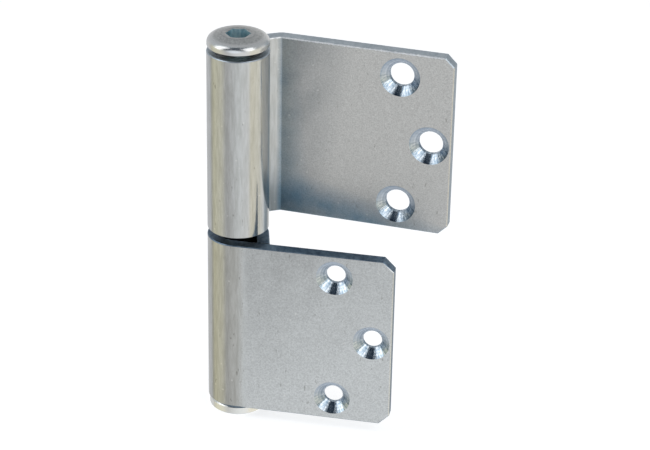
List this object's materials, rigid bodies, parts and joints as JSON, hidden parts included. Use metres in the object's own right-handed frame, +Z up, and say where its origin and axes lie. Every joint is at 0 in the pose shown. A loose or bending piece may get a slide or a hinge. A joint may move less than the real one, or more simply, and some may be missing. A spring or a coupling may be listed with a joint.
{
  "type": "flag hinge",
  "caption": "Flag hinge in plated steel sheet, whose cranked upper leaf turns on a pin and is raised or lowered by a screw with a hexagon socket.",
  "frame": {"origin": "middle of the lower leaf's pair of holes, on its mounting face", "axes": "+Z up along the hinge pin; +Y out of the lower leaf's mounting face into the frame; +X from the pin to the lower leaf's outer edge"},
  "size_m": [0.0773, 0.0269, 0.1341],
  "materials": {
    "plated_sheet": "zinc plated sheet, satin, faintly mottled",
    "plated_turned": "zinc plated turned steel, satin to bright",
    "bright_pin": "bright turned steel",
    "hardened_ball": "polished hardened steel",
    "bearing_bronze": "plain sintered bronze"
  },
  "bodies": {
    "lower_leaf": {"lower_leaf": "plated_sheet", "hinge_pin": "bright_pin", "bottom_plug": "plated_turned"},
    "thrust_ball": {"thrust_ball": "hardened_ball"},
    "upper_leaf": {"upper_leaf": "plated_sheet", "threaded_bush": "bright_pin", "lower_sleeve": "bearing_bronze", "upper_sleeve": "bearing_bronze"},
    "height_screw": {"height_screw": "plated_turned"}
  },
  "joints": [
    {"name": "leaf_swing", "type": "hinge", "parent": "lower_leaf", "child": "thrust_ball", "pos_m": [-0.0338, 0.006, 0], "axis": [0, 0, 1], "continuous": true},
    {"name": "screw_turn", "type": "hinge", "parent": "thrust_ball", "child": "height_screw", "pos_m": [-0.0338, 0.006, 0], "axis": [0, 0, 1], "range_deg": [-384.1, 576.1]},
    {"name": "leaf_height", "type": "slide", "parent": "thrust_ball", "child": "upper_leaf", "axis": [0, 0, 1], "range_m": [-0.0024, 0.0016]}
  ],
  "couplings": [
    {"joint": "screw_turn", "follows": "leaf_height", "rad_per_m": -4188.8}
  ]
}
